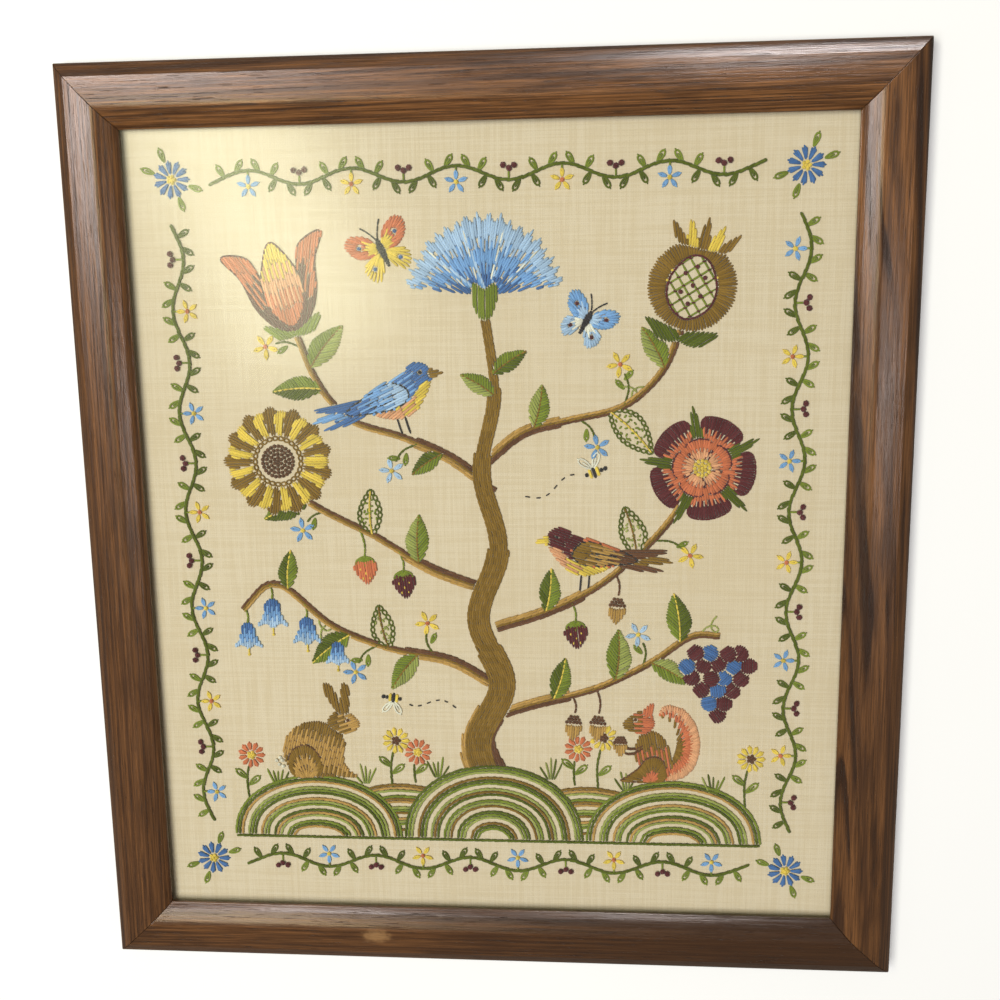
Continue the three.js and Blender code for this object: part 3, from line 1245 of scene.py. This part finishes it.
# %% Large flowers and fruit
carnation(Place(0, 108, 0, 1.1), ["deep_blue", "sky", "pale_blue"], "white", MID)
tulip(Place(-93, 104, 14, 1.12), ["maroon", "coral"], ["coral", "peach", "yellow"], "maroon", MID)
pomegranate(Place(93, 100, -14, 1.04), "gold", "yellow", MID, "maroon", DARK)
sunflower(Place(-104, 38), ["yellow", "gold"], "brown", "gold", 27)
dog_rose(Place(104, 34, 10), ["peach", "coral"], ["coral", "maroon"], "maroon", "yellow", DARK, 25)
grapes(Place(113, -54), ["maroon", "deep_blue", "maroon"])
report("large flowers and fruit")


# %% What hangs from the branches
def stalk(yarn, top, aside, drop, bow):
    """A short, bowed stalk from a branch down to what hangs there."""
    back(yarn, smooth([top, top + (bow, -0.5 * drop), top + (aside, -drop)]))


for share, size in ((0.6, 0.85), (0.73, 1.0), (0.87, 1.05), (1.0, 0.95)):
    top = spot_on(BRANCHES["bells"], share)[0]
    bluebell(Place(*(top + (1, -8)), 0, size), ["deep_blue", "sky", "pale_blue"], "yellow")
    stalk(MID, top, 1, 8, 1.5)
for branch, share, drop in (("sunflower", 0.38, 12), ("sunflower", 0.56, 16), ("rose", 0.3, 12)):
    top = spot_on(BRANCHES[branch], share)[0]
    strawberry(Place(*(top + (2, -drop)), 6, 0.95), "coral" if drop > 12 else "maroon", "yellow", MID)
    stalk(MID, top, 2, drop, 2.4)
for branch, share, drop in (("grapes", 0.36, 11), ("grapes", 0.46, 15), ("rose", 0.5, 13)):
    top = spot_on(BRANCHES[branch], share)[0]
    acorn(Place(*(top + (1, -drop)), -5, 0.9), "tan", "brown")
    stalk("brown", top, 1, drop, 2)
report("bells, strawberries and acorns")

# %% Sprigs on the branches
SPRIGS = (
    # branch, place along it, side, length, petals
    ("tulip", 0.34, 1, 19, "pale_blue"),
    ("pomegranate", 0.62, 1, 20, "yellow"),
    ("bells", 0.44, 1, 19, "sky"),
    ("pomegranate", 0.42, -1, 17, "sky"),
    ("rose", 0.68, -1, 20, "yellow"),
    ("sunflower", 0.72, 1, 15, "sky"),
    ("tulip", 0.92, 1, 18, "yellow"),
    ("bells", 0.24, -1, 18, "yellow"),
    ("grapes", 0.66, 1, 17, "pale_blue"),
)
for branch, share, side, far, petals in SPRIGS:
    foot, angle = spot_on(BRANCHES[branch], share)
    tip = foot + far * ray(angle + 68 * side)
    small_flower(Place(*tip, angle), petals, "coral" if petals == "yellow" else "yellow", 5.6)
    back(DARK, smooth([foot, foot + 0.5 * far * ray(angle + 50 * side), tip]))
    for reach, turn in ((0.4, 105), (0.62, 20)):
        near = foot + reach * far * ray(angle + 62 * side)
        leaf_stitch(MID, near, near + 5.5 * ray(angle + turn * side))
report("sprigs")

# %% Leaves on the branches
LEAVES = (
    # branch, place along it, side, length, two greens, vein, filled or open
    ("sunflower", 0.28, -1, 24, (MID, LIGHT), "gold", True),
    ("sunflower", 0.5, -1, 22, (DARK, MID), "yellow", False),
    ("sunflower", 0.8, 1, 24, (MID, DARK), "yellow", True),
    ("rose", 0.2, 1, 22, (MID, DARK), "yellow", True),
    ("rose", 0.6, 1, 24, (DARK, LIGHT), "gold", False),
    ("rose", 0.84, -1, 25, (LIGHT, MID), "gold", True),
    ("tulip", 0.76, 1, 24, (MID, DARK), "yellow", True),
    ("tulip", 0.84, -1, 26, (LIGHT, MID), "gold", True),
    ("tulip", 0.24, 1, 18, (DARK, MID), "gold", True),
    ("pomegranate", 0.24, 1, 21, (MID, LIGHT), "gold", True),
    ("pomegranate", 0.56, -1, 28, (DARK, MID), "yellow", False),
    ("pomegranate", 0.84, 1, 22, (MID, LIGHT), "gold", True),
    ("bells", 0.3, 1, 23, (MID, LIGHT), "gold", True),
    ("bells", 0.54, 1, 25, (DARK, MID), "yellow", True),
    ("bells", 0.4, -1, 22, (DARK, LIGHT), "gold", False),
    ("bells", 0.8, -1, 20, (MID, DARK), "yellow", True),
    ("grapes", 0.28, 1, 22, (MID, DARK), "yellow", True),
    ("grapes", 0.54, 1, 26, (LIGHT, MID), "gold", True),
    ("grapes", 0.84, 1, 25, (DARK, MID), "yellow", True),
    ("grapes", 0.7, -1, 22, (MID, LIGHT), "gold", True),
    ("trunk", 0.85, 1, 19, (MID, LIGHT), "gold", True),
    ("trunk", 0.89, -1, 19, (DARK, MID), "gold", True),
)
for branch, share, side, length, greens, vein, filled in LEAVES:
    foot, angle = spot_on(BRANCHES.get(branch, TRUNK), share)
    leaf(Place(*foot, angle - 90 + 52 * side), length, greens, vein, -0.16 * side * length, filled)
report("leaves")

# %% Trunk and branches
hillock(0, -120, 46, [DARK, MID, LIGHT, "gold"])
ribbon(["brown", "gold", "gold", "tan"], TRUNK, (26, 15, 12.5, 11, 9.6, 8, 5.6, 3.4))
for branch in BRANCHES.values():
    ribbon(["brown", "gold", "tan"], branch, (5.6, 4.8, 3.8, 3.0, 2.4))
for branch, share, side in (("tulip", 0.74, 1), ("pomegranate", 0.74, -1),
                            ("grapes", 0.93, 1), ("bells", 0.66, -1)):
    foot, angle = spot_on(BRANCHES[branch], share)
    tendril(Place(*foot, angle + 70 * side, 1.0, side < 0), LIGHT)
report("tree")

# %% Hills and what grows on them
for x, y, tall, petals in ((-52, -133, 26, "yellow"), (-40, -130, 17, "coral"),
                           (42, -130, 20, "coral"), (54, -133, 29, "yellow"),
                           (-128, -140, 24, "coral"), (128, -140, 26, "yellow")):
    top = (x + 0.1 * tall, y + tall)
    daisy(Place(*top), petals, "brown" if petals == "yellow" else "yellow", 7.2)
    stem(DARK, smooth([(x, y), (x - 0.5, y + 0.5 * tall), top]), 0.85)
    for side, share in ((1, 0.3), (-1, 0.45)):
        leaf_stitch(MID, (x, y + share * tall), (x + 6 * side, y + share * tall + 5))
for x, y in ((-66, -130), (-28, -126), (30, -126), (68, -131), (-112, -132), (112, -132)):
    grass(x, y, (DARK, MID, LIGHT))
for x in (-92, 92):
    hillock(x, -127, 44, [MID, DARK, "tan", LIGHT])
for x in (-48, 48):
    hillock(x, -131, 40, ["gold", "tan", LIGHT, MID])
stem(DARK, [(-136, GROUND - 0.8), (136, GROUND - 0.8)], 1.1, 3.4)
report("hills")

# %% Border
HALF_W, HALF_H, SWING = 149.0, 174.0, 3.6
for x in (-HALF_W, HALF_W):
    for y in (-HALF_H, HALF_H):
        daisy(Place(x, y), "deep_blue", "yellow", 9.0)
        for turn in (20, 70, 200, 250) if x * y > 0 else (110, 160, 290, 340):
            leaf_stitch(MID, (x, y) + 8.6 * ray(turn), (x, y) + 15 * ray(turn))


def border_side(start, way, inward, waves):
    """One side of the border: a wavy stem with leaves in pairs, berries and flowers in its bends."""
    start, way, inward = (np.array(value, float) for value in (start, way, inward))
    length = 2 * (HALF_W if way[0] else HALF_H)
    shares = np.linspace(0.06, 0.94, 200)
    swings = SWING * np.sin(2 * math.pi * waves * shares)
    stem_line = start + np.outer(shares * length, way) + np.outer(swings, inward)
    angle = math.degrees(math.atan2(way[1], way[0]))
    for k in range(1, 2 * waves - 1):
        share = (k + 0.5) / (2 * waves)
        swing = 1 if k % 2 == 0 else -1
        foot = start + share * length * way + swing * SWING * inward
        if k % 2:
            petals, eye = ("sky", "yellow") if k % 4 == 1 else ("yellow", "coral")
            small_flower(Place(*(foot + 7.5 * inward), angle), petals, eye, 4.8)
            between(MID, foot, foot + 4 * inward, 0.8)
        else:
            for off in (-2.6, 0, 2.6):
                knot("maroon", foot - 5.4 * inward + off * way - 0.5 * abs(off) * inward, 1.5)
            between(MID, foot, foot - 4.4 * inward, 0.8)
        for off, side in ((-0.055, -1), (-0.03, 1), (0.03, -1), (0.055, 1)):
            spot = stem_line[np.abs(shares - share - off * 4 / waves).argmin()]
            toward = ray(angle) * 0.55 * side + swing * inward * 0.9
            leaf_stitch(MID if k % 2 else DARK, spot, spot + 6 * toward)
    stem(DARK, stem_line, 1.35, 3.4)


border_side((-HALF_W, HALF_H), (1, 0), (0, -1), 6)
border_side((HALF_W, HALF_H), (0, -1), (-1, 0), 7)
border_side((HALF_W, -HALF_H), (-1, 0), (0, 1), 6)
border_side((-HALF_W, -HALF_H), (0, 1), (1, 0), 7)
report("border")

# %% [markdown]
# ## Linen
# The ground is a plain-woven linen, stretched flat. The sheet is a grid that lies in soft, shallow
# waves, because wool pulls the cloth it is sewn to. The weave is far too fine to model thread by
# thread, so the finish makes it: two sets of threads that pass over and under each other, each thread
# with its own tint and thickness.

# %% Linen sheet
linen_low, linen_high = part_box("linen_panel")
LINEN_TOP = linen_high[2]
GRID_X, GRID_Y = 90, 104
SWELL_MM, PULL_MM, SINK_MM = 0.05, 0.03, 0.08
THINNER_MM = 0.2


def stretched_linen():
    """A gently uneven sheet of linen with its thickness below."""
    bpy.ops.object.select_all(action="DESELECT")
    bpy.ops.mesh.primitive_grid_add(x_subdivisions=GRID_X, y_subdivisions=GRID_Y, size=1)
    sheet = bpy.context.object
    sheet.name = "linen_ground"
    sheet.scale = (linen_high[0] - linen_low[0], linen_high[1] - linen_low[1], 1)
    sheet.location = (0, 0, LINEN_TOP)
    bpy.ops.object.transform_apply(location=True, rotation=True, scale=True)
    for point in sheet.data.vertices:
        x, y = point.co.x / MM, point.co.y / MM
        wave = math.sin(0.041 * x + 0.6 * math.sin(0.033 * y)) * math.sin(0.037 * y + 0.8)
        pull = math.sin(0.19 * x + 1.3 * math.sin(0.05 * y)) * math.sin(0.16 * y + 2.0)
        point.co.z += (SWELL_MM * wave + PULL_MM * pull - SINK_MM) * MM
    wall = sheet.modifiers.new("thickness", "SOLIDIFY")
    wall.thickness = linen_high[2] - linen_low[2] - THINNER_MM * MM
    wall.offset = -1
    bpy.ops.object.modifier_apply(modifier=wall.name)
    bpy.ops.object.shade_smooth_by_angle(angle=math.radians(40))
    return sheet


# %% Finish for the linen
THREAD_MM = 1.06
DARK_FLAX, LIGHT_FLAX = paint(217, 201, 171), paint(225, 211, 185)
AGED_FLAX, WEAVE_HOLLOW_SHADE = paint(215, 197, 165), paint(192, 171, 134)


def woven_linen():
    """Plain weave: warp over weft over warp, with slubs, a tint per thread and painted shade in
    hollows.
    """
    finish, tree, shader = new_finish("woven_linen", 0.92)
    where = place_in_mm(tree)
    wobble = noise(tree, where, 0.05, 2.0)
    parts = add_node(tree, "ShaderNodeSeparateXYZ", {0: where}).outputs
    across = sums(tree, "DIVIDE", sums(tree, "MULTIPLY_ADD", wobble, 1.2, parts[0]), THREAD_MM)
    along = sums(tree, "DIVIDE", sums(tree, "MULTIPLY_ADD", wobble, -1.0, parts[1]), THREAD_MM)
    sine_x = sums(tree, "SINE", sums(tree, "MULTIPLY", across, math.pi))
    sine_y = sums(tree, "SINE", sums(tree, "MULTIPLY", along, math.pi))
    over = sums(tree, "MULTIPLY_ADD", sums(tree, "MULTIPLY", sine_x, sine_y), 0.5, 0.5)
    warp = sums(tree, "MULTIPLY", sums(tree, "ABSOLUTE", sine_x), over)
    under = sums(tree, "SUBTRACT", 1.0, over)
    weft = sums(tree, "MULTIPLY", sums(tree, "ABSOLUTE", sine_y), under)
    height = sums(tree, "MAXIMUM", warp, weft)
    slub_x = noise(tree, stretched(tree, where, 0.95, 0.03, 1), 1.0, 1.0)
    slub_y = noise(tree, stretched(tree, where, 0.03, 0.95, 1), 1.0, 1.0)
    slubs = sums(tree, "ADD", slub_x, slub_y)
    stain = noise(tree, where, 0.012, 3.0)
    cloth = blend(tree, ramp(tree, slubs, 0.75, 1.25), DARK_FLAX, LIGHT_FLAX)
    cloth = glaze(tree, cloth, ramp(tree, stain, 0.4, 0.75), 0.3, AGED_FLAX)
    # Painted shade: the cloth is darker where the threads dip low in the weave.
    hollow_shade_mask = sums(tree, "SUBTRACT", 1.0, ramp(tree, height, 0.1, 0.75))
    cloth = glaze(tree, cloth, hollow_shade_mask, 0.2, WEAVE_HOLLOW_SHADE)
    tree.links.new(cloth, shader.inputs["Base Color"])
    shader.inputs["Sheen Weight"].default_value = 0.08
    rise = sums(tree, "MULTIPLY_ADD", slubs, 0.35, height)
    emboss(tree, shader, rise, 0.17, 0.2)
    return finish


linen = stretched_linen()
linen.data.materials.append(woven_linen())
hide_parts("linen_panel")
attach(linen, "root")
print(linen.name, "faces:", len(linen.data.polygons))

# %% [markdown]
# ## Wool
# Crewel wool is two plies twisted together, matt and a little hairy. Every strand that was planned
# above becomes a flattened tube that comes up through the linen and goes down again. All strands of
# one colour are joined in one mesh, made from arrays, since there are thousands of them. Each strand
# carries its own tone, so that a filled petal isn't one flat patch.

# %% Finish for the wool
TWIST_PER_MM = 0.42


def crewel_wool(name, colour):
    """Two-ply wool: the twist with painted shade in its grooves, a tone per strand, a bloom of fibres.
    """
    finish, tree, shader = new_finish("wool_" + name, 0.88)
    shade = paint(*colour)
    tone = add_node(tree, "ShaderNodeAttribute", attribute_name="tone").outputs["Fac"]
    strand = add_node(tree, "ShaderNodeUVMap", uv_map="strand").outputs[0]
    parts = add_node(tree, "ShaderNodeSeparateXYZ", {0: strand}).outputs
    turns = sums(tree, "MULTIPLY_ADD", parts[0], TWIST_PER_MM, sums(tree, "MULTIPLY", parts[1], 2.0))
    ply = sums(tree, "ABSOLUTE", sums(tree, "SINE", sums(tree, "MULTIPLY", turns, math.pi)))
    hair = noise(tree, place_in_mm(tree), 2.4, 3.0, 0.65)
    dark = tuple(0.7 * value for value in shade[:3]) + (1,)
    light = tuple(min(1, 1.16 * value + 0.01) for value in shade[:3]) + (1,)
    wool = blend(tree, tone, dark, light)
    # Painted shade: darker in the grooves between the two plies.
    wool = glaze(tree, wool, ramp(tree, ply, 0.5, 0.05), 0.4, dark)
    wool = glaze(tree, wool, ramp(tree, hair, 0.5, 0.8), 0.35, light)
    tree.links.new(wool, shader.inputs["Base Color"])
    shader.inputs["Sheen Weight"].default_value = 0.25
    shader.inputs["Sheen Roughness"].default_value = 0.5
    shader.inputs["Specular IOR Level"].default_value = 0.25
    rise = sums(tree, "MULTIPLY_ADD", hair, 0.5, ply)
    emboss(tree, shader, rise, 0.6, 0.14)
    return finish


# %% Strands to tubes
SIDES = 6
FLATTEN, END_WIDTH = 0.72, 0.55


def strand_tubes(paths, widths):
    """Closed tubes along many paths of one length: points, faces and their place on the strand."""
    many, count = paths.shape[:2]
    way = np.gradient(paths, axis=1)
    way /= np.linalg.norm(way, axis=2, keepdims=True)
    across = np.cross(way, (0, 0, 1))
    across /= np.linalg.norm(across, axis=2, keepdims=True)
    up = np.cross(across, way)
    taper = np.ones(count)
    taper[[0, -1]] = END_WIDTH
    half = widths[:, None] / 2 * taper
    turn = 2 * math.pi * np.arange(SIDES) / SIDES
    hoop = np.cos(turn)[:, None] * across[:, :, None] + FLATTEN * np.sin(turn)[:, None] * up[:, :, None]
    points = (paths[:, :, None] + half[:, :, None, None] * hoop).reshape(-1, 3)
    steps = np.linalg.norm(np.diff(paths, axis=1), axis=2)
    reach = np.concatenate([np.zeros((many, 1)), np.cumsum(steps, axis=1)], axis=1)
    number = np.arange(many * count * SIDES).reshape(many, count, SIDES)
    after = np.roll(number, -1, axis=2)
    walls = np.stack([number[:, :-1], number[:, 1:], after[:, 1:], after[:, :-1]], axis=-1)
    side = np.arange(SIDES) / SIDES
    u = np.broadcast_to(reach[:, :, None], number.shape)
    v, v_after = (np.broadcast_to(value, number.shape) for value in (side, side + 1 / SIDES))
    wall_uv = np.stack([
        np.stack([u[:, :-1], u[:, 1:], u[:, 1:], u[:, :-1]], axis=-1),
        np.stack([v[:, :-1], v[:, 1:], v_after[:, 1:], v_after[:, :-1]], axis=-1),
    ], axis=-1)
    caps = np.concatenate([number[:, 0], number[:, -1, ::-1]])
    cap_u = np.concatenate([u[:, 0], u[:, -1]])
    cap_uv = np.stack([cap_u, np.broadcast_to(side, cap_u.shape)], axis=-1)
    return points, walls.reshape(-1, 4), wall_uv.reshape(-1, 2), caps, cap_uv.reshape(-1, 2)


# %% Tubes to pieces
TONES = (0.2, 0.9)


def wool_piece(yarn, stitches, colour):
    """All strands of one yarn as one mesh that lies on the linen."""
    points, faces, places, tones = [], [], [], []
    start = 0
    for count in sorted({len(path) for path, width in stitches}):
        same = [stitch for stitch in stitches if len(stitch[0]) == count]
        paths = np.array([path for path, width in same])
        widths = np.array([width for path, width in same])
        spots, walls, wall_uv, caps, cap_uv = strand_tubes(paths, widths)
        points.append(spots)
        faces += (walls + start).tolist() + (caps + start).tolist()
        places += [wall_uv, cap_uv]
        tones.append(np.repeat(rng.uniform(*TONES, len(same)), count * SIDES))
        start += len(spots)
    points = np.concatenate(points) * MM + (0, 0, LINEN_TOP)
    mesh = bpy.data.meshes.new("wool_" + yarn)
    mesh.from_pydata(points.tolist(), [], faces)
    mesh.uv_layers.new(name="strand").data.foreach_set("uv", np.concatenate(places).ravel())
    mesh.attributes.new("tone", "FLOAT", "POINT").data.foreach_set("value", np.concatenate(tones))
    mesh.shade_smooth()
    piece = bpy.data.objects.new("wool_" + yarn, mesh)
    bpy.context.collection.objects.link(piece)
    mesh.materials.append(crewel_wool(yarn, colour))
    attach(piece, "root")
    return piece


for yarn in sorted(sewn):
    piece = wool_piece(yarn, sewn[yarn], YARNS[yarn])
    print(piece.name, "stitches:", len(sewn[yarn]), "faces:", len(piece.data.polygons))
size = [high - low for low, high in zip(linen_low, linen_high)]

# %% [markdown]
# ## Room
# The picture lies on a pale floor under soft light. A warm lamp hangs up and to the left, and the
# glass mirrors it as a bright patch. Cool windows give the varnish its sheen and do nothing else: they
# are linked to the rails alone, so the glass doesn't mirror them. A wide pale ceiling high up to the
# left, which isn't mirrored itself, lights the linen evenly. The floor is seen and takes shadows, but
# throws no light back on the frame. The view transform is Standard, so a colour shows as it was mixed.


# %% Floor
def pale_floor():
    """A plain matt floor, very slightly uneven in tone."""
    finish, tree, shader = new_finish("pale_floor", 0.9)
    cloud = noise(tree, place_in_mm(tree), 0.004, 2.0)
    grey = blend(tree, cloud, paint(246, 246, 246), paint(250, 250, 250))
    tree.links.new(grey, shader.inputs["Base Color"])
    return finish


FLOOR_M = 6
bpy.ops.object.select_all(action="DESELECT")
bpy.ops.mesh.primitive_plane_add(size=FLOOR_M, location=(0, 0, 0))
floor = bpy.context.object
floor.name = "floor"
floor.data.materials.append(pale_floor())
floor.visible_glossy = False
floor.visible_diffuse = False
print(floor.name, "metres:", list(floor.dimensions))


# %% Lamp, windows and ceiling
def soft_lamp(name, spot, target, size, watts, tint, turn=0.0):
    """A lamp of some width and height that faces a point, turned about its own axis."""
    light = bpy.data.lights.new(name, "AREA")
    light.shape = "RECTANGLE"
    light.size, light.size_y = size
    light.energy = watts
    light.color = tint
    lamp = bpy.data.objects.new(name, light)
    lamp.location = spot
    facing = (Vector(target) - Vector(spot)).to_track_quat("-Z", "Y").to_matrix()
    lamp.rotation_euler = (facing @ Matrix.Rotation(turn, 3, "Z")).to_euler()
    bpy.context.collection.objects.link(lamp)
    return lamp


WARM, COOL, PLAIN = (1.0, 1.0, 0.68), (0.86, 0.98, 1.14), (1, 1, 1)
LAMP_TURN = math.radians(24)
WINDOWS = {
    # where it is, width and height in metres, watts
    "left": ((-1.44, 0.46, 1.3), (0.42, 0.9), 14),
    "far": ((-0.74, 1.05, 1.5), (0.6, 0.5), 5),
    "back": ((-1.0, 1.8, 1.3), (0.75, 0.5), 19),
    "middle": ((0.22, 0.8, 0.56), (0.16, 0.14), 1.4),
    "low": ((0.45, 2.0, 0.3), (0.5, 0.5), 20),
    "right": ((1.23, -0.08, 1.62), (0.14, 0.6), 3.8),
}
soft_lamp("warm_lamp", (-0.47, 0.34, 1.12), (-0.47, 0.34, 0), (0.22, 0.66), 3.2, WARM, LAMP_TURN)
varnished = bpy.data.collections.new("varnished")
for rail in RAILS:
    varnished.objects.link(bpy.data.objects["oak_" + rail[0]])
for name, (spot, size, watts) in WINDOWS.items():
    window = soft_lamp(name + "_window", spot, (0, 0, 0), size, watts, COOL)
    window.visible_diffuse = False
    window.light_linking.receiver_collection = varnished
ceiling = soft_lamp("ceiling", (-1.15, -0.1, 4.2), (0, 0, 0), (3.0, 3.0), 188, PLAIN)
ceiling.visible_glossy = False
print("lights:", [light.name for light in bpy.data.lights])

# %% Sky and colours
scene = bpy.context.scene
scene.view_settings.view_transform = "Standard"
scene.world = bpy.data.worlds.new("sky")
scene.world.use_nodes = True
sky = scene.world.node_tree.nodes["Background"].inputs
sky["Color"].default_value = (1.0, 0.9, 0.78, 1)
sky["Strength"].default_value = 0.16
print("view transform:", scene.view_settings.view_transform)

# %% [markdown]
# ## Camera
# The photograph was taken from a little above and to the right of the picture's middle. Working back
# from the frame's corners, and from the size of the frame, gives where the camera stood, the point
# that it looked at, its small tilt and its lens.

# %% Camera
CAMERA_AT = Vector((50.5, 118.6, 565.3)) * MM
LOOKS_AT = Vector((6.36, 19.3, 13.0)) * MM
TILT = math.radians(0.87)
LENS_PER_WIDTH = 1.1563

ahead = (LOOKS_AT - CAMERA_AT).normalized()
right = ahead.cross(Vector((0, 1, 0))).normalized()
right = Matrix.Rotation(TILT, 3, ahead) @ right
turned = Matrix((right, right.cross(ahead), -ahead)).transposed()
camera = bpy.data.objects.new("camera", bpy.data.cameras.new("camera"))
camera.matrix_world = Matrix.Translation(CAMERA_AT) @ turned.to_4x4()
camera.data.sensor_width = 36
camera.data.lens = 36 * LENS_PER_WIDTH
bpy.context.collection.objects.link(camera)
scene.camera = camera
print("camera:", [round(value / MM) for value in CAMERA_AT], "lens mm:", round(camera.data.lens, 1))
